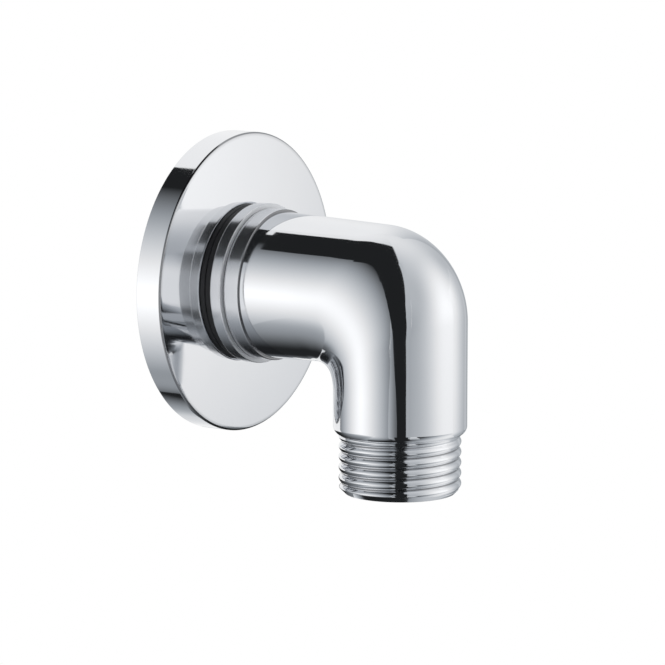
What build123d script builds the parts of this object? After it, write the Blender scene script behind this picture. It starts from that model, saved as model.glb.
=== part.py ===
"""Wall outlet elbow for a shower hose: chromed body, loose wall flange and black seal ring.

Millimetres, +Z up. The wall is the plane y = 0, the front of the object is -Y, the inlet points to +Y
into the wall and the outlet points down. The origin is on the inlet axis in the wall plane.
"""

import os
from math import atan2, cos, isclose, pi, sin, sqrt

from build123d import *

os.makedirs("parts", exist_ok=True)

# Threads: both ends are G 1/2 pipe threads, kept here as plain cylinders of the major diameter
THREAD_R = 20.955 / 2
THREAD_CHAMFER = 1.04

# Inlet side, along Y
INLET_LENGTH = 10.0
NECK_R = 11.5
COLLAR_R = 13.85
COLLAR_WIDTH = 2.2
COLLAR_STEP = 0.75
SHOULDER_RING_WIDTH = 3.1
SHOULDER_RING_STEP = 0.42
RING_ROUND = 0.2
TUBE_R_BEND = 12.40

# Bend and outlet leg
AXIS_REACH = 36.5
OUTLET_R = 11.45
BEND_INNER_R = 3.7
BEND_OUTER_R = 15.5
BEND_SECTIONS = 7
SHOULDER_TOP = 22.1
SHOULDER_DROP = 23.5
OUTLET_DROP = 33.7

# Water passage
INLET_BORE_R = 7.0
OUTLET_BORE_R = 7.25
CORE_R = 8.5
CORE_BEND_R = 10.0
CORE_START = 5.0
CORE_END = 21.0

# Wall flange
FLANGE_R = 26.0
FLANGE_EDGE = 4.9
FLANGE_WALL = 1.8
FLANGE_EDGE_ROUND = 0.35
DOME_RADIUS = 480.0
SEAT_FRONT = 5.4
SEAT_MARGIN = 0.15
HUB_WALL = 2.95
HUB_BACK = 1.2
FLANGE_PLAY = 0.15

# Seal ring
SEAL_THICKNESS = 1.2
SEAL_INSET = 0.3
SEAL_PLAY = 0.05
SEAL_ROUND = 0.2

# Places that follow from the sizes above
collar_back = SEAT_FRONT + SEAL_THICKNESS
ring_start = collar_back + COLLAR_WIDTH
tube_start = ring_start + SHOULDER_RING_WIDTH
ring_r = COLLAR_R - COLLAR_STEP
tube_r = ring_r - SHOULDER_RING_STEP
seat_r = COLLAR_R + SEAT_MARGIN
seal_r = COLLAR_R - SEAL_INSET
hole_r = NECK_R + FLANGE_PLAY
pivot_y = -AXIS_REACH + OUTLET_R + BEND_INNER_R
pivot_z = -TUBE_R_BEND - BEND_INNER_R
taper = (tube_r - TUBE_R_BEND) / (-tube_start - pivot_y)
front_y = -AXIS_REACH - OUTLET_R
arc_y = front_y + BEND_OUTER_R
arc_z = TUBE_R_BEND + taper * (arc_y - pivot_y) - BEND_OUTER_R * sqrt(1 + taper ** 2)
arc_top_y = arc_y - BEND_OUTER_R * taper / sqrt(1 + taper ** 2)
arc_top_z = arc_z + BEND_OUTER_R / sqrt(1 + taper ** 2)
arc_first = atan2(pivot_y - arc_top_y, arc_top_z - pivot_z)
arc_last = atan2(pivot_y - front_y, arc_z - pivot_z)


def outer_reach(angle):
    """Distance from the bend pivot to the outer outline, which is a line, an arc and a line."""
    if angle < arc_first:
        return (TUBE_R_BEND - pivot_z) / (cos(angle) + taper * sin(angle))
    if angle > arc_last:
        return (pivot_y - front_y) / sin(angle)
    along = (pivot_y - arc_y) * sin(angle) + (arc_z - pivot_z) * cos(angle)
    gap = (pivot_y - arc_y) ** 2 + (arc_z - pivot_z) ** 2 - BEND_OUTER_R ** 2
    return along + sqrt(along ** 2 - gap)


def half_width(angle):
    """Half width of a bend section across X; it leaves the tube along its taper and ends plain."""
    share = angle / (pi / 2)
    start_slope = -taper * (BEND_INNER_R + TUBE_R_BEND) * pi / 2
    fall = 2 * share ** 3 - 3 * share ** 2 + 1
    lead = share ** 3 - 2 * share ** 2 + share
    return fall * TUBE_R_BEND + lead * start_slope + (1 - fall) * OUTLET_R


def circles(piece, radius):
    """Circular edges of one radius on a piece, from its front to its back."""
    edges = piece.edges().filter_by(GeomType.CIRCLE)
    return edges.filter_by(lambda edge: isclose(edge.radius, radius, rel_tol=1e-6)).sort_by(Axis.Y)


outlet_plane = Plane(origin=(0, -AXIS_REACH, 0), x_dir=(1, 0, 0), z_dir=(0, -1, 0))
outlet_axis = Axis((0, -AXIS_REACH, 0), (0, 0, 1))

# Chromed body, one casting
with BuildPart() as elbow_body:
    # Turned inlet side: thread, neck, two rings and the tapered tube
    with BuildSketch(Plane.XY):
        with BuildLine():
            Polyline(
                (0, INLET_LENGTH),
                (THREAD_R - THREAD_CHAMFER, INLET_LENGTH),
                (THREAD_R, INLET_LENGTH - THREAD_CHAMFER),
                (THREAD_R, 0),
                (NECK_R, 0),
                (NECK_R, -collar_back),
                (COLLAR_R, -collar_back),
                (COLLAR_R, -ring_start),
                (ring_r, -ring_start),
                (ring_r, -tube_start),
                (tube_r, -tube_start),
                (TUBE_R_BEND, pivot_y),
                (0, pivot_y),
                close=True,
            )
        make_face()
    revolve(axis=Axis.Y)

    # Bend: oval sections turn about the pivot line, in three lofts that meet at the ends of the outer arc
    for first, last in ((0, arc_first), (arc_first, arc_last), (arc_last, pi / 2)):
        for index in range(BEND_SECTIONS):
            angle = first + (last - first) * index / (BEND_SECTIONS - 1)
            half_depth = (outer_reach(angle) - BEND_INNER_R) / 2
            middle = BEND_INNER_R + half_depth
            section_plane = Plane(
                origin=(0, pivot_y - sin(angle) * middle, pivot_z + cos(angle) * middle),
                x_dir=(0, -sin(angle), cos(angle)),
                z_dir=(0, -cos(angle), -sin(angle)),
            )
            with BuildSketch(section_plane):
                Ellipse(half_depth, half_width(angle))
        loft()

    # Turned outlet leg: rounded shoulder and thread
    with BuildSketch(outlet_plane):
        with BuildLine():
            Polyline((0, pivot_z), (OUTLET_R, pivot_z), (OUTLET_R, -SHOULDER_TOP))
            TangentArc((OUTLET_R, -SHOULDER_TOP), (THREAD_R, -SHOULDER_DROP), tangent=(0, -1))
            Polyline(
                (THREAD_R, -SHOULDER_DROP),
                (THREAD_R, -OUTLET_DROP + THREAD_CHAMFER),
                (THREAD_R - THREAD_CHAMFER, -OUTLET_DROP),
                (0, -OUTLET_DROP),
                (0, pivot_z),
            )
        make_face()
    revolve(axis=outlet_axis)

    # Cast core of the water passage, round the bend
    with BuildLine(Plane.YZ) as core_path:
        core_in = Line((-CORE_START, 0), (-AXIS_REACH + CORE_BEND_R, 0))
        core_turn = TangentArc(core_in @ 1, (-AXIS_REACH, -CORE_BEND_R), tangent=core_in % 1)
        Line(core_turn @ 1, (-AXIS_REACH, -CORE_END))
    with BuildSketch(Plane(origin=(0, -CORE_START, 0), x_dir=(1, 0, 0), z_dir=(0, -1, 0))):
        Circle(CORE_R)
    sweep(path=core_path.line, mode=Mode.SUBTRACT)

    # Drilled inlet bore, with a cone into the core
    with BuildSketch(Plane.XY):
        with BuildLine():
            Polyline(
                (0, INLET_LENGTH),
                (INLET_BORE_R, INLET_LENGTH),
                (INLET_BORE_R, -CORE_START + CORE_R - INLET_BORE_R),
                (CORE_R, -CORE_START),
                (0, -CORE_START),
                close=True,
            )
        make_face()
    revolve(axis=Axis.Y, mode=Mode.SUBTRACT)

    # Drilled outlet bore, with a cone into the core
    with BuildSketch(outlet_plane):
        with BuildLine():
            Polyline(
                (0, -CORE_END),
                (CORE_R, -CORE_END),
                (OUTLET_BORE_R, -CORE_END - CORE_R + OUTLET_BORE_R),
                (OUTLET_BORE_R, -OUTLET_DROP),
                (0, -OUTLET_DROP),
                close=True,
            )
        make_face()
    revolve(axis=outlet_axis, mode=Mode.SUBTRACT)

    # Small roundings on the outer edges of both rings
    fillet(circles(elbow_body, COLLAR_R), RING_ROUND)
    fillet(circles(elbow_body, ring_r)[0], RING_ROUND)

elbow_body.part.label = "elbow_body"
export_step(elbow_body.part, "parts/elbow_body.step")

# Wall flange: domed cover with a straight rim, a hollow back and a flat seat round its hole
with BuildPart() as wall_flange:
    with BuildSketch(Plane.XY):
        with BuildLine():
            RadiusArc((seat_r, -SEAT_FRONT), (FLANGE_R, -FLANGE_EDGE), -DOME_RADIUS)
            Polyline(
                (FLANGE_R, -FLANGE_EDGE),
                (FLANGE_R, 0),
                (FLANGE_R - FLANGE_WALL, 0),
                (FLANGE_R - FLANGE_WALL, -FLANGE_EDGE + FLANGE_WALL),
                (hole_r + HUB_WALL, -FLANGE_EDGE + FLANGE_WALL),
                (hole_r + HUB_WALL, -HUB_BACK),
                (hole_r, -HUB_BACK),
                (hole_r, -SEAT_FRONT),
                (seat_r, -SEAT_FRONT),
            )
        make_face()
    revolve(axis=Axis.Y)
    fillet(circles(wall_flange, FLANGE_R)[0], FLANGE_EDGE_ROUND)

wall_flange.part.label = "wall_flange"
export_step(wall_flange.part, "parts/wall_flange.step")

# Seal ring: flat black ring between the flange seat and the back of the collar
with BuildPart() as seal_ring:
    with BuildSketch(Plane(origin=(0, -SEAT_FRONT, 0), x_dir=(1, 0, 0), z_dir=(0, -1, 0))):
        Circle(seal_r)
        Circle(NECK_R + SEAL_PLAY, mode=Mode.SUBTRACT)
    extrude(amount=SEAL_THICKNESS)
    fillet(circles(seal_ring, seal_r), SEAL_ROUND)

seal_ring.part.label = "seal_ring"
export_step(seal_ring.part, "parts/seal_ring.step")
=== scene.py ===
"""Wall outlet elbow for a shower hose, dressed in polished chrome and shown on a white studio stage."""

import logging
import math
from dataclasses import dataclass, field
from enum import Enum

import bmesh
import bpy
from mathutils import Matrix, Vector


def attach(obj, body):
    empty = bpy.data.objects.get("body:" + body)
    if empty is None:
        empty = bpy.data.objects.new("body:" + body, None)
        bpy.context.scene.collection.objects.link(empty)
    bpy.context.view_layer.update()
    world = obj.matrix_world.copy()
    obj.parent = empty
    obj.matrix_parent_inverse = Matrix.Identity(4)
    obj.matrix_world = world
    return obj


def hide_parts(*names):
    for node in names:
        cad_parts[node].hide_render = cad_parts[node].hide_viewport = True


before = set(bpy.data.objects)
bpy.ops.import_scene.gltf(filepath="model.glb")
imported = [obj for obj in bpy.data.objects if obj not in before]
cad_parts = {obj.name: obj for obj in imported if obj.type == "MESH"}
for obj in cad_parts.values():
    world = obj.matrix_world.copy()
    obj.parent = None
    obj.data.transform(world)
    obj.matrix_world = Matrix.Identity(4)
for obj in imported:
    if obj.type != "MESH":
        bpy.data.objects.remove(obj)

LOG = logging.getLogger("wall_outlet_elbow")
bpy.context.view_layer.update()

# One millimetre in metres, since sizes here are in millimetres
MM = 0.001
# Vertices closer than this are welded, in metres
WELD = 1e-7
# Slack when places are compared, in millimetres
NEAR = 0.001
# Width of the photograph, and of the camera's sensor in millimetres
PHOTO_PIXELS = 665
SENSOR = 36.0
# Colour of the stage's white, strength of its black, and middle of its tent in millimetres
WHITE = (1.0, 1.0, 1.0)
DARK = 0.017
TENT_MIDDLE = Vector((0.0, -18.0, -8.0))

# Directions in the part's frame
LEFT = (-1, 0, 0)
RIGHT = (1, 0, 0)
FRONT = (0, -1, 0)
BACK = (0, 1, 0)
UP = (0, 0, 1)
DOWN = (0, 0, -1)

Mesh = bmesh.types.BMesh
Material = bpy.types.Material
Socket = bpy.types.NodeSocket
Triple = tuple[float, float, float]


class Outline:
    """Half section of a turned piece: points of radius and place along the axis, in millimetres."""

    def __init__(self, radius: float, along: float) -> None:
        """Starts the outline at one point.

        Args:
            radius: Distance from the axis.
            along: Place along the axis.
        """
        self.points: list[tuple[float, float]] = [(radius, along)]

    def run(self, radius: float, along: float, steps: int = 1, hold: float = 0.05) -> "Outline":
        """Draws a straight run, with a support ring near each end so that reflections stay true.

        Args:
            radius: Radius at the end of the run.
            along: Place along the axis at the end of the run.
            steps: Number of even stretches between the support rings.
            hold: Distance of the support rings from the ends.

        Returns:
            The outline itself.
        """
        start = Vector(self.points[-1])
        end = Vector((radius, along))
        length = (end - start).length
        shares = [step / steps for step in range(1, steps + 1)]
        if length > 4 * hold:
            edge = hold / length
            shares = [edge] + [edge + (1 - 2 * edge) * share for share in shares] + [1.0]
        self.points += [tuple(start.lerp(end, share)) for share in shares]
        return self

    def arc(self, middle: tuple[float, float], turn: float, steps: int) -> "Outline":
        """Draws an arc on from the last point.

        Args:
            middle: Centre of the arc, as radius and place along the axis.
            turn: Angle turned about the centre, in degrees.
            steps: Number of chords.

        Returns:
            The outline itself.
        """
        arm = Vector(self.points[-1]) - Vector(middle)
        for step in range(1, steps + 1):
            turned = Matrix.Rotation(math.radians(turn * step / steps), 2) @ arm
            self.points.append((middle[0] + turned.x, middle[1] + turned.y))
        return self


@dataclass(frozen=True)
class Axis:
    """A line that outlines spin about.

    The outline's radius is drawn along `out`, and its second value along `up`.
    """

    foot: Vector
    out: Vector
    up: Vector

    def place(self, radius: float, along: float) -> Vector:
        """Point of an outline in metres, in the part's frame.

        Args:
            radius: Distance from the axis in millimetres.
            along: Place along the axis in millimetres.

        Returns:
            The point.
        """
        return (self.foot + self.out * radius + self.up * along) * MM

    def spin(self, mesh: Mesh, outline: Outline, segments: int, closed: bool = False) -> None:
        """Spins an outline once round the axis into the mesh.

        Args:
            mesh: Mesh that gets the surface.
            outline: Half section to spin.
            segments: Number of faces round the axis.
            closed: Whether the outline's last point joins its first.
        """
        verts = [mesh.verts.new(self.place(*point)) for point in outline.points]
        ends = verts[1:] + verts[:1] if closed else verts[1:]
        edges = [mesh.edges.new(pair) for pair in zip(verts, ends)]
        bmesh.ops.spin(
            mesh,
            geom=verts + edges,
            cent=self.foot * MM,
            axis=self.up,
            angle=math.tau,
            steps=segments,
            use_merge=True,
            use_duplicate=False,
        )


INLET_AXIS = Axis(Vector(), Vector(UP), Vector(BACK))


@dataclass(frozen=True)
class PipeThread:
    """Right-hand pipe thread with full rounded crests, as polished and plated fittings have it."""

    major: float = 10.4775
    pitch: float = 1.814
    depth: float = 0.58
    crest_power: float = 1.8
    run_out: float = 0.9
    start: float = 0.816

    def radius(self, along: float, angle: float) -> float:
        """Radius of the thread's surface at one point.

        Args:
            along: Distance from the shoulder towards the free end, in millimetres.
            angle: Angle about the axis that points to the free end, in radians.

        Returns:
            Radius in millimetres.
        """
        turns = along / self.pitch - angle / math.tau - self.start
        off_crest = abs(turns - round(turns)) * 2
        sunk = min(1.0, max(0.0, along / self.run_out))
        return self.major - self.depth * sunk * off_crest ** self.crest_power


@dataclass
class Piece:
    """A finished mesh of the object that stands for one CAD node."""

    name: str
    node: str
    slot: str
    segments: int = 192

    def finish(self, mesh: Mesh, material: Material) -> None:
        """Welds the mesh, turns it outwards and puts it in the scene on the part's body.

        Args:
            mesh: The modelled surface, which is freed.
            material: Finish of the whole piece.
        """
        bmesh.ops.remove_doubles(mesh, verts=mesh.verts, dist=WELD)
        bmesh.ops.recalc_face_normals(mesh, faces=mesh.faces)
        for face in mesh.faces:
            face.smooth = True
        data = bpy.data.meshes.new(self.name)
        mesh.to_mesh(data)
        mesh.free()
        data.materials.append(material)
        piece = bpy.data.objects.new(self.name, data)
        bpy.context.scene.collection.objects.link(piece)
        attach(piece, "root")
        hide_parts(self.node)
        loose = sum(1 for edge in data.edges if edge.is_loose)
        LOG.info("%s: %d faces, %d loose edges", self.name, len(data.polygons), loose)


@dataclass
class ElbowBody(Piece):
    """The chromed casting: inlet thread, collar rings, tapered tube, bend, outlet leg and thread."""

    name: str = "elbow_casting"
    node: str = "elbow_body"
    slot: str = "body_chrome"
    thread: PipeThread = field(default_factory=PipeThread)
    thread_chamfer: float = 1.04
    inlet_length: float = 10.0
    neck_r: float = 11.5
    collar_back: float = 6.6
    collar_r: float = 13.85
    collar_width: float = 2.2
    ring_r: float = 13.1
    ring_width: float = 3.1
    ring_round: float = 0.2
    tube_r: float = 12.68
    bend_r: float = 12.4
    reach: float = 36.5
    outlet_r: float = 11.45
    bend_inner: float = 3.7
    bend_outer: float = 15.5
    shoulder_top: float = 22.1
    shoulder_drop: float = 23.5
    outlet_drop: float = 33.7
    inlet_bore: float = 7.0
    outlet_bore: float = 7.25
    core_r: float = 8.5
    core_bend: float = 10.0
    core_start: float = 5.0
    core_end: float = 21.0
    round_steps: int = 8
    shoulder_steps: int = 14
    bend_steps: int = 72
    rings_per_turn: int = 24

    def __post_init__(self) -> None:
        """Works out the places that follow from the sizes."""
        self.ring_start = self.collar_back + self.collar_width
        self.tube_start = self.ring_start + self.ring_width
        self.pivot_y = -self.reach + self.outlet_r + self.bend_inner
        self.pivot_z = -self.bend_r - self.bend_inner
        self.taper = (self.tube_r - self.bend_r) / (-self.tube_start - self.pivot_y)
        self.front_y = -self.reach - self.outlet_r
        slant = math.hypot(1, self.taper)
        self.arc_y = self.front_y + self.bend_outer
        rise = self.bend_r + self.taper * (self.arc_y - self.pivot_y)
        self.arc_z = rise - self.bend_outer * slant
        top_y = self.arc_y - self.bend_outer * self.taper / slant
        top_z = self.arc_z + self.bend_outer / slant
        self.arc_first = math.atan2(self.pivot_y - top_y, top_z - self.pivot_z)
        self.arc_last = math.atan2(self.pivot_y - self.front_y, self.arc_z - self.pivot_z)
        self.outlet_axis = Axis(Vector((0, -self.reach, 0)), Vector(FRONT), Vector(UP))

    def outer_reach(self, angle: float) -> float:
        """Distance from the bend's pivot to its outer outline, which is a line, an arc and a line.

        Args:
            angle: Angle of the section from straight up towards the front, in radians.

        Returns:
            Distance in millimetres.
        """
        if angle < self.arc_first:
            return (self.bend_r - self.pivot_z) / (math.cos(angle) + self.taper * math.sin(angle))
        if angle > self.arc_last:
            return (self.pivot_y - self.front_y) / math.sin(angle)
        ahead = self.pivot_y - self.arc_y
        above = self.arc_z - self.pivot_z
        along = ahead * math.sin(angle) + above * math.cos(angle)
        return along + math.sqrt(along ** 2 - ahead ** 2 - above ** 2 + self.bend_outer ** 2)

    def half_width(self, angle: float) -> float:
        """Half width of a bend section: it leaves the tube along its taper and ends plain.

        Args:
            angle: Angle of the section in radians.

        Returns:
            Half width across X in millimetres.
        """
        share = angle / (math.pi / 2)
        lead = -self.taper * (self.bend_inner + self.bend_r) * math.pi / 2
        fall = 2 * share ** 3 - 3 * share ** 2 + 1
        start = (share ** 3 - 2 * share ** 2 + share) * lead
        return fall * self.bend_r + start + (1 - fall) * self.outlet_r

    def inlet_outline(self) -> Outline:
        """Half section of the inlet side, from the core's bend round the inlet's end to the outer bend."""
        tight = self.ring_round
        turns = self.inlet_length / self.thread.pitch
        mouth = self.thread.major - self.thread_chamfer
        outline = Outline(self.core_r, -self.reach + self.core_bend)
        outline.run(self.core_r, -self.core_start, 4)
        outline.run(self.inlet_bore, -self.core_start + self.core_r - self.inlet_bore)
        outline.run(self.inlet_bore, self.inlet_length, 4)
        outline.run(mouth, self.inlet_length)
        outline.run(self.thread.major, self.inlet_length - self.thread_chamfer, 8)
        outline.run(self.thread.major, 0, round(turns * self.rings_per_turn / 2))
        outline.run(self.neck_r, 0).run(self.neck_r, -self.collar_back, 2)
        outline.run(self.collar_r - tight, -self.collar_back)
        outline.arc((self.collar_r - tight, -self.collar_back - tight), -90, self.round_steps)
        outline.run(self.collar_r, -self.ring_start + tight, 2)
        outline.arc((self.collar_r - tight, -self.ring_start + tight), -90, self.round_steps)
        outline.run(self.ring_r, -self.ring_start)
        outline.run(self.ring_r, -self.tube_start + tight, 3)
        outline.arc((self.ring_r - tight, -self.tube_start + tight), -90, self.round_steps)
        outline.run(self.tube_r, -self.tube_start)
        return outline.run(self.bend_r, self.pivot_y, 8)

    def outlet_outline(self) -> Outline:
        """Half section of the outlet side, from the outer bend round the outlet's end to the core."""
        step = self.outlet_r - self.thread.major
        drop = self.shoulder_drop - self.shoulder_top
        shoulder = (step ** 2 + drop ** 2) / (2 * step)
        turn = -math.degrees(math.asin(drop / shoulder))
        turns = (self.outlet_drop - self.shoulder_drop) / self.thread.pitch
        outline = Outline(self.outlet_r, self.pivot_z)
        outline.run(self.outlet_r, -self.shoulder_top, 3)
        outline.arc((self.outlet_r - shoulder, -self.shoulder_top), turn, self.shoulder_steps)
        outline.run(self.thread.major, -self.outlet_drop, round(turns * self.rings_per_turn))
        outline.run(self.outlet_bore, -self.outlet_drop)
        outline.run(self.outlet_bore, -self.core_end - self.core_r + self.outlet_bore, 4)
        outline.run(self.core_r, -self.core_end)
        return outline.run(self.core_r, -self.core_bend, 3)

    def turn_bend(self, mesh: Mesh, ring: list, pivot: Vector) -> list:
        """Spins one ring of edges a quarter turn forward and down about a line across X.

        Args:
            mesh: Mesh that holds the ring.
            ring: Vertices and edges of the ring.
            pivot: A point of the line, in millimetres.

        Returns:
            Every vertex of the new surface.
        """
        before = set(mesh.verts)
        bmesh.ops.spin(
            mesh,
            geom=ring,
            cent=pivot * MM,
            axis=Vector(RIGHT),
            angle=math.pi / 2,
            steps=self.bend_steps,
            use_merge=False,
            use_duplicate=False,
        )
        return [vert for vert in mesh.verts if vert not in before]

    def mould_bend(self, verts: list) -> None:
        """Moves the vertices of a plain round bend out to the oval, tapered sections of the casting.

        Args:
            verts: Vertices of the spun bend.
        """
        for vert in verts:
            ahead = self.pivot_y * MM - vert.co.y
            above = vert.co.z - self.pivot_z * MM
            angle = math.atan2(ahead, above)
            share = (math.hypot(ahead, above) / MM - self.bend_inner) / (2 * self.bend_r)
            far = self.bend_inner + share * (self.outer_reach(angle) - self.bend_inner)
            vert.co.x *= self.half_width(angle) / self.bend_r
            vert.co.y = (self.pivot_y - far * math.sin(angle)) * MM
            vert.co.z = (self.pivot_z + far * math.cos(angle)) * MM

    def cut_thread(self, mesh: Mesh, axis: Axis, shoulder: float, end: float) -> None:
        """Sinks the helical grooves and the end chamfer into a plain threaded spigot.

        Args:
            mesh: Mesh that holds the spigot.
            axis: Axis of the spigot.
            shoulder: Place along the axis where the spigot leaves its shoulder.
            end: Place along the axis of the spigot's end face.
        """
        sense = math.copysign(1.0, end - shoulder)
        side = axis.up.cross(axis.out) * sense
        length = abs(end - shoulder)
        mouth = self.thread.major - self.thread_chamfer
        for vert in mesh.verts:
            arm = vert.co / MM - axis.foot
            along = (arm.dot(axis.up) - shoulder) * sense
            flat = arm - axis.up * arm.dot(axis.up)
            on_spigot = 0 < along <= length + NEAR
            outside = mouth - NEAR < flat.length < self.thread.major + NEAR
            if on_spigot and outside:
                angle = math.atan2(flat.dot(side), flat.dot(axis.out))
                cone = mouth + max(0.0, length - along)
                radius = min(cone, flat.length, self.thread.radius(along, angle))
                vert.co += flat * (radius / flat.length - 1) * MM

    def build(self, material: Material) -> None:
        """Models the casting as one closed mesh.

        Args:
            material: Chrome finish of the casting.
        """
        mesh = bmesh.new()
        INLET_AXIS.spin(mesh, self.inlet_outline(), self.segments)
        bend_ring = self.ring_at(mesh, self.pivot_y, self.bend_r)
        core_ring = self.ring_at(mesh, -self.reach + self.core_bend, self.core_r)
        bend = self.turn_bend(mesh, bend_ring, Vector((0, self.pivot_y, self.pivot_z)))
        self.mould_bend(bend)
        self.turn_bend(mesh, core_ring, Vector((0, -self.reach + self.core_bend, -self.core_bend)))
        self.outlet_axis.spin(mesh, self.outlet_outline(), self.segments)
        self.cut_thread(mesh, self.outlet_axis, -self.shoulder_drop, -self.outlet_drop)
        self.cut_thread(mesh, INLET_AXIS, 0.0, self.inlet_length)
        self.finish(mesh, material)

    def ring_at(self, mesh: Mesh, along: float, radius: float) -> list:
        """Finds one ring of the inlet side.

        Args:
            mesh: Mesh that holds the ring.
            along: Place of the ring on the inlet axis, in millimetres.
            radius: Radius of the ring in millimetres.

        Returns:
            Vertices and edges of the ring.
        """
        near = 10 * NEAR * MM
        verts = [
            vert for vert in mesh.verts
            if abs(vert.co.y - along * MM) < near
            and abs(math.hypot(vert.co.x, vert.co.z) - radius * MM) < near
        ]
        chosen = set(verts)
        edges = [edge for edge in mesh.edges if edge.verts[0] in chosen and edge.verts[1] in chosen]
        return verts + edges


@dataclass
class WallFlange(Piece):
    """The loose round cover: straight rim, slightly domed front, hollow back and a flat seat."""

    name: str = "flange_cover"
    node: str = "wall_flange"
    slot: str = "flange_chrome"
    segments: int = 256
    rim_r: float = 26.0
    edge: float = 4.9
    wall: float = 1.8
    edge_round: float = 0.35
    dome: float = 480.0
    seat_front: float = 5.4
    seat_r: float = 14.0
    hole_r: float = 11.65
    hub_r: float = 14.6
    hub_back: float = 1.2
    back_round: float = 0.1
    dome_steps: int = 24
    round_steps: int = 10
    back_steps: int = 4

    def outline(self) -> Outline:
        """Half section of the cover, closed, from the seat over the dome and the rim to the hole."""
        chord = Vector((self.rim_r - self.seat_r, self.seat_front - self.edge))
        lean = math.atan2(chord.y, chord.x)
        half = math.asin(chord.length / 2 / self.dome)
        first = lean - half
        middle = (self.seat_r - self.dome * math.sin(first), -self.seat_front + self.dome * math.cos(first))
        sink = self.edge_round
        bead = math.asin((self.rim_r - sink - middle[0]) / (self.dome - sink))
        bead_along = middle[1] - (self.dome - sink) * math.cos(bead)
        outline = Outline(self.seat_r, -self.seat_front)
        outline.arc(middle, math.degrees(bead - first), self.dome_steps)
        outline.arc((self.rim_r - sink, bead_along), 90 - math.degrees(bead), self.round_steps)
        outline.run(self.rim_r, -self.back_round, 4)
        outline.arc((self.rim_r - self.back_round, -self.back_round), 90, self.back_steps)
        inner = self.rim_r - self.wall
        outline.run(inner, 0).run(inner, -self.edge + self.wall, 2)
        outline.run(self.hub_r, -self.edge + self.wall, 2).run(self.hub_r, -self.hub_back, 2)
        outline.run(self.hole_r, -self.hub_back).run(self.hole_r, -self.seat_front, 2)
        outline.run(self.seat_r, -self.seat_front)
        outline.points.pop()
        return outline

    def build(self, material: Material) -> None:
        """Models the cover as one closed mesh.

        Args:
            material: Chrome finish of the cover.
        """
        mesh = bmesh.new()
        INLET_AXIS.spin(mesh, self.outline(), self.segments, closed=True)
        self.finish(mesh, material)


@dataclass
class SealRing(Piece):
    """The black flat ring between the flange's seat and the back of the collar."""

    name: str = "seal_washer"
    node: str = "seal_ring"
    slot: str = "seal_rubber"
    outer_r: float = 13.55
    inner_r: float = 11.55
    back: float = 5.4
    thickness: float = 1.2
    edge_round: float = 0.2
    round_steps: int = 6

    def build(self, material: Material) -> None:
        """Models the ring as one closed mesh with rounded outer edges.

        Args:
            material: Black rubber finish.
        """
        front = self.back + self.thickness
        flat_r = self.outer_r - self.edge_round
        outline = Outline(self.inner_r, -self.back)
        outline.run(self.inner_r, -front).run(flat_r, -front, 2)
        outline.arc((flat_r, -front + self.edge_round), 90, self.round_steps)
        outline.run(self.outer_r, -self.back - self.edge_round)
        outline.arc((flat_r, -self.back - self.edge_round), 90, self.round_steps)
        outline.run(self.inner_r, -self.back, 2)
        outline.points.pop()
        mesh = bmesh.new()
        INLET_AXIS.spin(mesh, outline, self.segments, closed=True)
        self.finish(mesh, material)


class Fade(Enum):
    """How a value goes from one end of its range to the other."""

    STRAIGHT = "LINEAR"
    SOFT = "SMOOTHSTEP"


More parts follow.
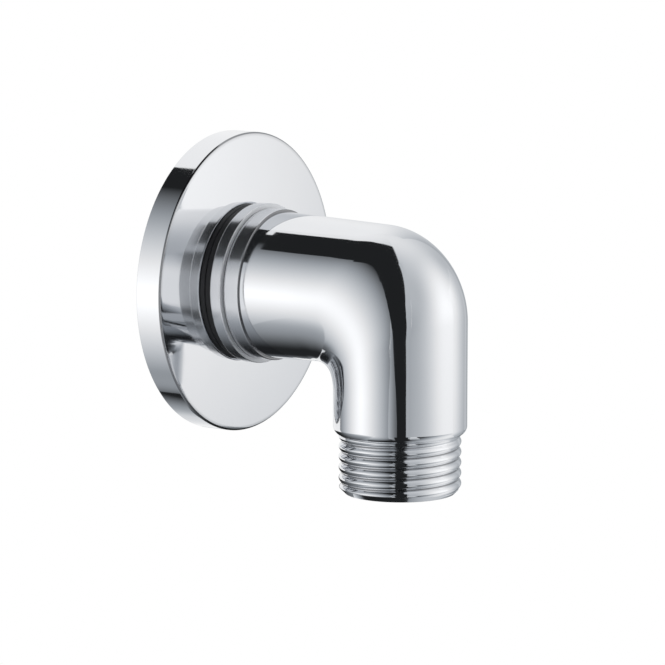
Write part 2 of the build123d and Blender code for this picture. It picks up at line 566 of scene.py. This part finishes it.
class NodeSheet:
    """A new material and short ways to lay out its nodes."""

    def __init__(self, name: str) -> None:
        """Starts an empty material.

        Args:
            name: Name of the material.
        """
        self.material = bpy.data.materials.new(name)
        self.material.use_nodes = True
        self.tree = self.material.node_tree
        self.tree.nodes.clear()

    def add(self, kind: str, inputs: dict | None = None, **settings: object) -> bpy.types.Node:
        """Adds a node, sets its options and fills its sockets.

        Args:
            kind: Blender's name of the node type.
            inputs: Value or output socket for each input, by name or number.
            settings: Options of the node.

        Returns:
            The node.
        """
        node = self.tree.nodes.new(kind)
        for option, value in settings.items():
            setattr(node, option, value)
        for key, value in (inputs or {}).items():
            if isinstance(value, Socket):
                self.link(value, node.inputs[key])
            else:
                node.inputs[key].default_value = value
        return node

    def link(self, source: Socket, target: Socket) -> None:
        """Links two sockets."""
        self.tree.links.new(source, target)

    def count(self, operation: str, first: Socket, second: Socket | float = 0.0) -> Socket:
        """Does one step of arithmetic.

        Args:
            operation: Blender's name of the operation.
            first: First value.
            second: Second value, where the operation takes one.

        Returns:
            Socket of the result.
        """
        return self.add("ShaderNodeMath", {0: first, 1: second}, operation=operation).outputs[0]

    def plus(self, first: Socket | None, second: Socket) -> Socket:
        """Adds two values, where the first may still be missing.

        Args:
            first: Sum so far.
            second: Value to add.

        Returns:
            Socket of the sum.
        """
        return second if first is None else self.count("ADD", first, second)

    def dot(self, place: Socket, along: Triple | Vector) -> Socket:
        """Measures a place along one direction.

        Args:
            place: Socket of the place.
            along: Direction of length one.

        Returns:
            Socket of the distance.
        """
        sockets = {0: place, 1: along}
        return self.add("ShaderNodeVectorMath", sockets, operation="DOT_PRODUCT").outputs["Value"]

    def range(self, value: Socket, source: tuple[float, float], target: tuple[float, float],
              fade: Fade) -> Socket:
        """Maps a value from one range to another, held at the ends.

        Args:
            value: Value to map.
            source: Range it comes from.
            target: Range it goes to.
            fade: Way between the ends.

        Returns:
            Socket of the result.
        """
        ends = {"Value": value, "From Min": source[0], "From Max": source[1],
                "To Min": target[0], "To Max": target[1]}
        return self.add("ShaderNodeMapRange", ends, interpolation_type=fade.value).outputs["Result"]

    def blend(self, share: Socket, first: Socket | Triple, second: Triple) -> Socket:
        """Mixes two colours.

        Args:
            share: Socket of the second colour's share.
            first: First colour, or the socket of one.
            second: Second colour.

        Returns:
            Socket of the mixed colour.
        """
        start = first if isinstance(first, Socket) else (*first, 1.0)
        sockets = {0: share, 6: start, 7: (*second, 1.0)}
        return self.add("ShaderNodeMix", sockets, data_type="RGBA").outputs[2]

    def seen(self) -> Socket:
        """One for camera, glossy and transmission rays, and nought for the rest."""
        path = self.add("ShaderNodeLightPath")
        shiny = self.plus(path.outputs["Is Camera Ray"], path.outputs["Is Glossy Ray"])
        return self.plus(shiny, path.outputs["Is Transmission Ray"])

    def noise(self, place: Socket, scale: float, detail: float) -> Socket:
        """Adds a noise texture.

        Args:
            place: Socket of the object coordinates.
            scale: Number of clouds to the metre.
            detail: Number of finer layers.

        Returns:
            Socket of the value, from nought to one.
        """
        sockets = {"Vector": place, "Scale": scale, "Detail": detail}
        return self.add("ShaderNodeTexNoise", sockets).outputs[0]

    def bump(self, height: Socket, rise: float, under: Socket | None = None) -> Socket:
        """Adds a bump.

        Args:
            height: Socket of the height, from nought to one.
            rise: Height of the whole range in millimetres.
            under: Normal that the bump lies on.

        Returns:
            Socket of the normal.
        """
        node = self.add("ShaderNodeBump", {"Distance": rise * MM, "Height": height})
        if under is not None:
            self.link(under, node.inputs["Normal"])
        return node.outputs["Normal"]

    def show(self, shader: bpy.types.Node) -> None:
        """Makes a shader the surface of the material."""
        output = self.add("ShaderNodeOutputMaterial")
        self.link(shader.outputs[0], output.inputs["Surface"])


@dataclass(frozen=True)
class DullAndShadeZone:
    """A stretch of a piece that is less polished, and darker by painted shade, between two places along one
    direction.

    The places and the blend at each end are in millimetres. The roughness comes on top of the finish's own,
    and the shade is how much painted shade darkens the plating's colour.
    """

    along: Triple
    first: float
    last: float
    roughness: float
    blend: float = 0.3
    shade: float = 0.0

    def amount(self, sheet: NodeSheet, place: Socket) -> Socket:
        """Lays out the nodes of the zone.

        Args:
            sheet: Material that gets the nodes.
            place: Socket of the object coordinates.

        Returns:
            Socket of the zone's share, one inside it and nought outside.
        """
        reach = sheet.dot(place, self.along)
        begin = (self.first * MM, (self.first + self.blend) * MM)
        end = ((self.last - self.blend) * MM, self.last * MM)
        rise = sheet.range(reach, begin, (0.0, 1.0), Fade.SOFT)
        fall = sheet.range(reach, end, (1.0, 0.0), Fade.SOFT)
        return sheet.count("MINIMUM", rise, fall)


@dataclass(frozen=True)
class ThreadGrooveShade(DullAndShadeZone):
    """The grooves of a thread, rougher and darkened with painted shade.

    The zone lies between two distances from the thread's axis: from `floor`, which keeps it off the bore,
    to `brim` on the flanks, and it is full up to `root`.
    """

    origin: Triple = (0.0, 0.0, 0.0)
    floor: float = 9.3
    root: float = 9.95
    brim: float = 10.10

    def amount(self, sheet: NodeSheet, place: Socket) -> Socket:
        """Lays out the nodes of the grooves.

        Args:
            sheet: Material that gets the nodes.
            place: Socket of the object coordinates.

        Returns:
            Socket of the grooves' share, one at their roots and nought outside.
        """
        origin = Vector(self.origin) * MM
        arm = sheet.add("ShaderNodeVectorMath", {0: place, 1: origin}, operation="SUBTRACT").outputs[0]
        across = sheet.add("ShaderNodeVectorMath", {0: arm, 1: self.along}, operation="CROSS_PRODUCT")
        length = sheet.add("ShaderNodeVectorMath", {0: across.outputs[0]}, operation="LENGTH")
        radius = length.outputs["Value"]
        bore_side = (self.floor * MM, (self.floor + self.blend) * MM)
        crest_side = (self.root * MM, self.brim * MM)
        above_bore = sheet.range(radius, bore_side, (0.0, 1.0), Fade.SOFT)
        below_crest = sheet.range(radius, crest_side, (1.0, 0.0), Fade.SOFT)
        ring = sheet.count("MINIMUM", above_bore, below_crest)
        return sheet.count("MINIMUM", ring, super().amount(sheet, place))


@dataclass(frozen=True)
class ChromeFinish:
    """Polished chrome plating: cloudy haze, a faint ripple of the buffed metal and fine grain, with painted
    shade in its shaded zones.
    """

    name: str
    zones: tuple[DullAndShadeZone, ...] = ()
    colour: Triple = (0.80, 0.81, 0.83)
    colour_spread: float = 0.012
    # Dark colour of the painted shade that the zones mix into the plating
    painted_dark_colour: Triple = (0.10, 0.10, 0.105)
    roughness: tuple[float, float] = (0.03, 0.075)
    haze_scale: float = 140.0
    haze_detail: float = 4.0
    haze_range: tuple[float, float] = (0.3, 0.7)
    ripple_scale: float = 220.0
    ripple_detail: float = 1.0
    ripple_height: float = 0.0012
    grain_scale: float = 2600.0
    grain_detail: float = 2.0
    grain_height: float = 0.0002

    def material(self) -> Material:
        """Makes the node material.

        Returns:
            The material.
        """
        sheet = NodeSheet(self.name)
        place = sheet.add("ShaderNodeTexCoord").outputs["Object"]
        haze = sheet.noise(place, self.haze_scale, self.haze_detail)
        rough = sheet.range(haze, self.haze_range, self.roughness, Fade.SOFT)
        darker = tuple(part - self.colour_spread for part in self.colour)
        lighter = tuple(part + self.colour_spread for part in self.colour)
        colour = sheet.blend(haze, darker, lighter)
        for zone in self.zones:
            share = zone.amount(sheet, place)
            rough = sheet.count("ADD", rough, sheet.count("MULTIPLY", share, zone.roughness))
            # Painted shade: a shaded zone mixes the plating's colour towards the dark colour
            if zone.shade:
                colour = sheet.blend(sheet.count("MULTIPLY", share, zone.shade), colour, self.painted_dark_colour)
        ripple_noise = sheet.noise(place, self.ripple_scale, self.ripple_detail)
        grain_noise = sheet.noise(place, self.grain_scale, self.grain_detail)
        ripple = sheet.bump(ripple_noise, self.ripple_height)
        grain = sheet.bump(grain_noise, self.grain_height, ripple)
        shader = sheet.add("ShaderNodeBsdfPrincipled", {
            "Base Color": colour, "Metallic": 1.0, "Roughness": rough, "Normal": grain,
        })
        sheet.show(shader)
        return sheet.material


@dataclass(frozen=True)
class RubberFinish:
    """Black moulded rubber: a little bloom on the surface and a fine pebbled skin."""

    name: str
    colour: Triple = (0.02, 0.02, 0.022)
    bloom: Triple = (0.030, 0.030, 0.032)
    roughness: tuple[float, float] = (0.42, 0.62)
    bloom_scale: float = 180.0
    bloom_detail: float = 4.0
    bloom_range: tuple[float, float] = (0.45, 0.75)
    rough_range: tuple[float, float] = (0.3, 0.7)
    skin_scale: float = 2200.0
    skin_detail: float = 2.0
    skin_height: float = 0.012

    def material(self) -> Material:
        """Makes the node material.

        Returns:
            The material.
        """
        sheet = NodeSheet(self.name)
        place = sheet.add("ShaderNodeTexCoord").outputs["Object"]
        cloud = sheet.noise(place, self.bloom_scale, self.bloom_detail)
        share = sheet.range(cloud, self.bloom_range, (0.0, 1.0), Fade.SOFT)
        pebbles = sheet.noise(place, self.skin_scale, self.skin_detail)
        shader = sheet.add("ShaderNodeBsdfPrincipled", {
            "Base Color": sheet.blend(share, self.colour, self.bloom),
            "Roughness": sheet.range(cloud, self.rough_range, self.roughness, Fade.STRAIGHT),
            "Normal": sheet.bump(pebbles, self.skin_height),
        })
        sheet.show(shader)
        return sheet.material


def elbow_zones(body: ElbowBody) -> tuple[DullAndShadeZone, ...]:
    """Zones of the casting: duller rings with thin lines of painted shade in their corners, and threads
    with painted shade in their grooves.

    Args:
        body: The casting, whose sizes place the zones.

    Returns:
        The zones.
    """
    collar_front = -body.ring_start
    ring_front = -body.tube_start
    outlet_foot = (0.0, -body.reach, 0.0)
    past_end = 1.0
    return (
        DullAndShadeZone(BACK, ring_front - 0.1, -body.collar_back + 0.1, roughness=0.13),
        DullAndShadeZone(BACK, collar_front - 0.04, collar_front + 0.1, roughness=0.40, blend=0.03),
        # Thin lines of painted shade in the corners in front of the collar and of the ring
        DullAndShadeZone(BACK, collar_front - 0.25, collar_front - 0.01, roughness=0.1, blend=0.02, shade=0.8),
        DullAndShadeZone(BACK, ring_front - 0.12, ring_front + 0.1, roughness=0.1, blend=0.06, shade=0.75),
        DullAndShadeZone(DOWN, body.shoulder_drop - 0.1, body.outlet_drop + past_end, roughness=0.045),
        DullAndShadeZone(BACK, 0.0, body.inlet_length + past_end, roughness=0.08),
        # Painted shade in the grooves of both threads
        ThreadGrooveShade(DOWN, body.shoulder_drop + 0.1, body.outlet_drop - 0.7, roughness=0.1, shade=0.65,
                      origin=outlet_foot),
        ThreadGrooveShade(BACK, 0.4, body.inlet_length - 0.6, roughness=0.1, shade=0.65),
    )


def flange_zones(cover: WallFlange) -> tuple[DullAndShadeZone, ...]:
    """Zones of the cover: a thin painted dark reflection on its rounded front edge.

    Args:
        cover: The cover, whose sizes place the zones.

    Returns:
        The zones.
    """
    # Painted reflection of the dark room: a thin dark line on the cover's rounded front edge
    return (DullAndShadeZone(BACK, -cover.edge - 0.05, -cover.edge + 0.3, roughness=0.05, blend=0.08, shade=0.65),)


def toward(turn: float, lift: float) -> Vector:
    """Direction seen from the object.

    Args:
        turn: Angle from the front towards +X, in degrees.
        lift: Angle above the level, in degrees.

    Returns:
        A direction of length one.
    """
    level = math.cos(math.radians(lift))
    side = math.radians(turn)
    return Vector((math.sin(side) * level, -math.cos(side) * level, math.sin(math.radians(lift))))


@dataclass(frozen=True)
class PhotoCamera:
    """Camera at the photograph's viewing angle, with its sizes in millimetres and degrees."""

    azimuth: float = -56.06
    elevation: float = 9.17
    distance: float = 800.0
    aim: Triple = (9.242, -16.385, -9.176)
    focal_pixels: float = 4593.45

    def build(self) -> None:
        """Puts the camera in the scene."""
        back = toward(self.azimuth, self.elevation)
        data = bpy.data.cameras.new("photo_camera")
        data.sensor_width = SENSOR
        data.lens = self.focal_pixels * SENSOR / PHOTO_PIXELS
        camera = bpy.data.objects.new("photo_camera", data)
        camera.location = (Vector(self.aim) + back * self.distance) * MM
        camera.rotation_euler = back.to_track_quat("Z", "Y").to_euler()
        bpy.context.scene.collection.objects.link(camera)
        bpy.context.scene.camera = camera


@dataclass(frozen=True)
class Glow:
    """A round patch of light on the tent: its middle and reach as angles seen from the tent's middle.

    The angles are in degrees. A strength below nought darkens the patch.
    """

    turn: float
    lift: float
    reach: float
    strength: float
    fade: Fade = Fade.SOFT


@dataclass(frozen=True)
class Ramp:
    """A change of brightness along one direction of a sheet, between two places in millimetres."""

    along: Triple
    first: float
    last: float
    rise: float


@dataclass(frozen=True)
class StageLight:
    """Even glow of a tent panel or a card, with patches and ramps on it, cool where it is dim."""

    name: str
    base: float
    glows: tuple[Glow, ...] = ()
    ramps: tuple[Ramp, ...] = ()
    shade: Triple = (0.94, 1.0, 1.065)
    shade_range: tuple[float, float] = (0.35, 0.95)

    def material(self) -> Material:
        """Makes the node material.

        Returns:
            The material.
        """
        sheet = NodeSheet(self.name)
        place = sheet.add("ShaderNodeTexCoord").outputs["Object"]
        unit = sheet.add("ShaderNodeVectorMath", {0: place}, operation="NORMALIZE").outputs["Vector"]
        total = None
        for glow in self.glows:
            angle = sheet.count("ARCCOSINE", sheet.dot(unit, toward(glow.turn, glow.lift)))
            spread = (0.0, math.radians(glow.reach))
            total = sheet.plus(total, sheet.range(angle, spread, (glow.strength, 0.0), glow.fade))
        for ramp in self.ramps:
            stretch = (ramp.first * MM, ramp.last * MM)
            reach = sheet.dot(place, ramp.along)
            total = sheet.plus(total, sheet.range(reach, stretch, (0.0, ramp.rise), Fade.SOFT))
        shader = sheet.add("ShaderNodeEmission", {"Color": (*self.shade, 1.0), "Strength": self.base})
        if total is not None:
            whole = sheet.count("MAXIMUM", sheet.count("ADD", total, self.base), DARK)
            share = sheet.range(whole, self.shade_range, (0.0, 1.0), Fade.STRAIGHT)
            sheet.link(sheet.blend(share, self.shade, WHITE), shader.inputs["Color"])
            sheet.link(whole, shader.inputs["Strength"])
        sheet.show(shader)
        return sheet.material


def stage_object(mesh: Mesh, light: StageLight, place: Vector) -> None:
    """Turns a stage mesh into an object that the camera itself doesn't see.

    Args:
        mesh: The modelled sheet, which is freed.
        light: How it glows.
        place: Where its own origin goes, in millimetres.
    """
    data = bpy.data.meshes.new(light.name)
    mesh.to_mesh(data)
    mesh.free()
    data.materials.append(light.material())
    thing = bpy.data.objects.new(light.name, data)
    thing.location = place * MM
    thing.visible_camera = False
    bpy.context.scene.collection.objects.link(thing)


@dataclass(frozen=True)
class Panel:
    """A patch of the round studio tent.

    It lies between two turns at its foot, two turns at its top and two lifts, all in degrees.
    """

    light: StageLight
    foot: tuple[float, float]
    top: tuple[float, float]
    lifts: tuple[float, float]
    radius: float
    columns: int = 48
    rows: int = 32

    def build(self) -> None:
        """Puts the patch in the scene."""
        mesh = bmesh.new()
        bmesh.ops.create_grid(mesh, x_segments=self.columns, y_segments=self.rows, size=1.0)
        for vert in mesh.verts:
            rise = (vert.co.y + 1) / 2
            first = self.foot[0] + (self.top[0] - self.foot[0]) * rise
            last = self.foot[1] + (self.top[1] - self.foot[1]) * rise
            turn = first + (last - first) * (vert.co.x + 1) / 2
            lift = self.lifts[0] + (self.lifts[1] - self.lifts[0]) * rise
            vert.co = toward(turn, lift) * self.radius * MM
        stage_object(mesh, self.light, TENT_MIDDLE)


@dataclass(frozen=True)
class Dome:
    """Half of the round studio tent, cut off square to the direction that it faces and at a lowest lift."""

    light: StageLight
    turn: float
    lift: float
    lowest: float
    radius: float
    columns: int = 96
    rows: int = 48

    def build(self) -> None:
        """Puts the half tent in the scene."""
        mesh = bmesh.new()
        size = self.radius * MM
        bmesh.ops.create_uvsphere(mesh, u_segments=self.columns, v_segments=self.rows, radius=size)
        foot = Vector((0, 0, math.sin(math.radians(self.lowest)))) * size
        for place, facing in ((Vector(), toward(self.turn, self.lift)), (foot, Vector(UP))):
            bmesh.ops.bisect_plane(
                mesh,
                geom=mesh.verts[:] + mesh.edges[:] + mesh.faces[:],
                plane_co=place,
                plane_no=facing,
                clear_inner=True,
            )
        stage_object(mesh, self.light, TENT_MIDDLE)


@dataclass(frozen=True)
class FlatCard:
    """A flat card beside the object: its middle and its two half sides, in millimetres."""

    light: StageLight
    middle: Triple
    across: Triple
    along: Triple

    def build(self) -> None:
        """Puts the card in the scene."""
        mesh = bmesh.new()
        bmesh.ops.create_grid(mesh, x_segments=2, y_segments=2, size=1.0)
        for vert in mesh.verts:
            side = Vector(self.across) * vert.co.x + Vector(self.along) * vert.co.y
            vert.co = (Vector(self.middle) + side) * MM
        stage_object(mesh, self.light, Vector())


@dataclass(frozen=True)
class BentCard:
    """A narrow card that follows the elbow at some distance from its bent middle line.

    The line runs straight along the tube, then round the bend's pivot, at `half_bend` to its front and
    above it, and straight down the leg. Each station gives a place along the line in millimetres, below
    zero on the tube and from zero in the bend, and the card's two edges there as angles from the left
    side towards the outside of the bend, in degrees.
    """

    light: StageLight
    distance: float
    stations: tuple[Triple, ...]
    pivot: tuple[float, float] = (-21.35, -16.1)
    half_bend: tuple[float, float] = (15.15, 16.1)
    columns: int = 120
    rows: int = 12

    def edges(self, along: float) -> tuple[float, float]:
        """The card's two edges at one place, on straight lines between the stations.

        Args:
            along: Place along the card.

        Returns:
            The lower and the upper edge, in degrees.
        """
        for first, last in zip(self.stations, self.stations[1:]):
            if along <= last[0]:
                share = (along - first[0]) / (last[0] - first[0])
                return tuple(a + (b - a) * share for a, b in zip(first[1:], last[1:]))
        return self.stations[-1][1:]

    def point(self, along: float, angle: float) -> Vector:
        """One point of the card.

        Args:
            along: Place along the card.
            angle: Angle from the left side towards the outside of the bend, in degrees.

        Returns:
            The point in metres.
        """
        quarter = self.half_bend[1] * math.pi / 2
        turn = min(max(along, 0.0), quarter) / self.half_bend[1]
        out = Vector((0, -math.sin(turn), math.cos(turn)))
        line = Vector((0, self.pivot[0], self.pivot[1]))
        line += Vector((0, out.y * self.half_bend[0], out.z * self.half_bend[1]))
        line.y -= min(along, 0.0)
        line.z -= max(along - quarter, 0.0)
        side = math.radians(angle)
        return (line + (Vector(LEFT) * math.cos(side) + out * math.sin(side)) * self.distance) * MM

    def build(self) -> None:
        """Puts the card in the scene."""
        mesh = bmesh.new()
        bmesh.ops.create_grid(mesh, x_segments=self.columns, y_segments=self.rows, size=0.5)
        first = self.stations[0][0]
        last = self.stations[-1][0]
        for vert in mesh.verts:
            along = first + (last - first) * (vert.co.x + 0.5)
            low, high = self.edges(along)
            vert.co = self.point(along, low + (high - low) * (vert.co.y + 0.5))
        stage_object(mesh, self.light, Vector())


@dataclass(frozen=True)
class Studio:
    """White studio: a round tent of soft walls, cards near the object, a pale floor and a white world."""

    cover_radius: float = 450.0
    floor_drop: float = 900.0
    floor_half_side: float = 20000.0
    floor_paint: Triple = (0.8, 0.8, 0.8)

    def build(self) -> None:
        """Builds the tent, the cards, the floor and the world."""
        self.side_walls()
        self.back_walls()
        self.strips()
        self.flat_cards()
        self.stripe_cards()
        self.cover()
        self.floor()
        self.world()

    def side_walls(self) -> None:
        """Hangs the soft walls to the left, to the right, low in front and overhead."""
        left = StageLight("left_wall", 0.0, (
            Glow(-125, -5, 67, 1.38, Fade.STRAIGHT),
            Glow(-170, -34, 17, -0.15),
            Glow(-170, -56, 15, 0.22),
        ))
        Panel(left, (140, 298), (166, 298), (-75, 57), 410).build()
        right = StageLight("right_wall", 0.56, (
            Glow(60, 75, 60, 0.14),
            Glow(26, 7, 56, 0.64),
            Glow(62, -4, 38, 0.20),
            Glow(-52, -4, 36, -0.16),
            Glow(140, 60, 60, 0.30),
            Glow(25, 46, 45, 0.13),
        ))
        Dome(right, 41, -6, -17, 400).build()
        low = StageLight("low_wall", 0.0, (Glow(48, -38, 68, 1.0),))
        Panel(low, (-30, 110), (-30, 110), (-78, -17), 400).build()
        over = StageLight("over_wall", 0.70, (Glow(140, 60, 45, 0.28),))
        Dome(over, 97, -5, 30, 430).build()

    def back_walls(self) -> None:
        """Hangs the wall behind the object and its foot."""
        back = StageLight("back_wall", 0.45, (), (Ramp(tuple(toward(185, 25)), 39, 254, 0.55),))
        Panel(back, (95, 180), (95, 170), (-22, 57), 390).build()
        foot = StageLight("back_foot", 0.0, (Glow(186, -54, 15, -0.16),), (
            Ramp(UP, -324, -294, 0.32),
            Ramp(UP, -305, -250, 0.45),
            Ramp(UP, -260, -150, 0.20),
        ))
        Panel(foot, (119, 180), (119, 180), (-62, -20), 389).build()

    def strips(self) -> None:
        """Hangs the two light strips round the camera's direction."""
        strip = StageLight("camera_strip", 1.08, (), (
            Ramp(FRONT, 181, 219, -0.85),
            Ramp(FRONT, 235, 258, 0.78),
            Ramp(UP, 60, 230, -0.45),
            Ramp(DOWN, 165, 285, -0.95),
        ))
        Panel(strip, (-70, -38), (-70, -38), (-60, 36), 385).build()
        lower = StageLight("lower_strip", 0.80, (), (Ramp(DOWN, 110, 280, -0.35),))
        Panel(lower, (-34, -14), (-45, -28), (-46, -17), 388).build()

    def flat_cards(self) -> None:
        """Sets the grey card to the right of the bend and the black card below the tube."""
        edge = StageLight("edge_card", 0.42, (), (
            Ramp(FRONT, 44, 78, 0.50),
            Ramp(UP, -40, -15, 0.10),
            Ramp(UP, -10, 15, 0.12),
        ))
        FlatCard(edge, (30, -63, -15), (0, 15, 0), (0, 0, 30)).build()
        below = StageLight("black_card_below", 0.02, (), (
            Ramp(LEFT, -2, 30, 0.36),
            Ramp(LEFT, 24, 60, 0.50),
            Ramp(RIGHT, 12, 32, 0.20),
            Ramp(FRONT, 25, 30, 0.12),
        ))
        FlatCard(below, (-15, -11, -36), (45, 0, 0), (0, 19, 0)).build()

    def stripe_cards(self) -> None:
        """Sets the black cards of the dark stripe along the elbow, and the dim cards beside it."""
        black = StageLight("black_card", DARK)
        BentCard(black, 35, ((-21, 54, 85), (-6, 54, 87), (2.5, 50, 84))).build()
        BentCard(black, 90, (
            (-14, 52, 91), (0.8, 52, 90.5), (2.6, 50.5, 85.5), (4.5, 44.5, 78), (6.6, 37, 69.5),
        )).build()
        BentCard(black, 35, (
            (8.2, 43.5, 71.5), (10, 38.5, 66.5), (12, 33.5, 60), (14, 29.5, 53.5), (16, 27, 48),
            (18, 25.3, 45), (21, 24.5, 43), (24, 25, 42), (28, 27, 41.5), (33, 28.5, 41.5), (50, 28.5, 42),
        )).build()
        BentCard(black, 17, ((33, 26.5, 42.5), (56, 26.5, 42.5))).build()
        dim = StageLight("dim_card", 0.46, (), (Ramp(UP, -13, 26, 0.13),))
        BentCard(dim, 35.5, (
            (9, 68, 73), (12, 59, 65), (14, 52.5, 59.5), (16, 47, 55), (20, 43, 50), (24, 41.5, 48),
            (50, 41.5, 48),
        )).build()
        grey = StageLight("grey_card", 0.14, (), (Ramp(BACK, -54.2, -45, 0.38),))
        BentCard(grey, 35.5, (
            (14, 29.5, 30), (20, 22, 26), (28, 17, 28), (33, 16, 30), (50, 16, 30),
        )).build()

    def cover(self) -> None:
        """Closes the tent with a dark outer cover."""
        mesh = bmesh.new()
        bmesh.ops.create_uvsphere(mesh, u_segments=48, v_segments=24, radius=self.cover_radius * MM)
        stage_object(mesh, StageLight("dark_cover", DARK), TENT_MIDDLE)

    def floor(self) -> None:
        """Lays a pale floor far below the object, white where the camera sees it."""
        mesh = bmesh.new()
        bmesh.ops.create_grid(mesh, x_segments=2, y_segments=2, size=self.floor_half_side * MM)
        data = bpy.data.meshes.new("pale_floor")
        mesh.to_mesh(data)
        mesh.free()
        sheet = NodeSheet("pale_floor")
        paint = sheet.add("ShaderNodeBsdfDiffuse", {"Color": (*self.floor_paint, 1.0)})
        white = sheet.add("ShaderNodeEmission", {"Strength": 1.0})
        mix = sheet.add("ShaderNodeMixShader", {0: sheet.seen(), 1: paint.outputs[0], 2: white.outputs[0]})
        sheet.show(mix)
        data.materials.append(sheet.material)
        floor = bpy.data.objects.new("pale_floor", data)
        floor.location = (0, 0, -self.floor_drop * MM)
        bpy.context.scene.collection.objects.link(floor)

    def world(self) -> None:
        """Gives the scene a white world."""
        world = bpy.data.worlds.new("studio_white")
        world.use_nodes = True
        world.node_tree.nodes["Background"].inputs["Color"].default_value = (*WHITE, 1.0)
        bpy.context.scene.world = world


def main() -> None:
    """Builds the object, the stage and the camera."""
    logging.basicConfig(level=logging.INFO)
    elbow = ElbowBody()
    elbow.build(ChromeFinish("body_chrome", elbow_zones(elbow)).material())
    cover = WallFlange()
    cover.build(ChromeFinish("flange_chrome", flange_zones(cover)).material())
    SealRing().build(RubberFinish("seal_rubber").material())
    PhotoCamera().build()
    Studio().build()
    bpy.context.scene.view_settings.view_transform = "Standard"


if __name__ == "__main__":
    main()
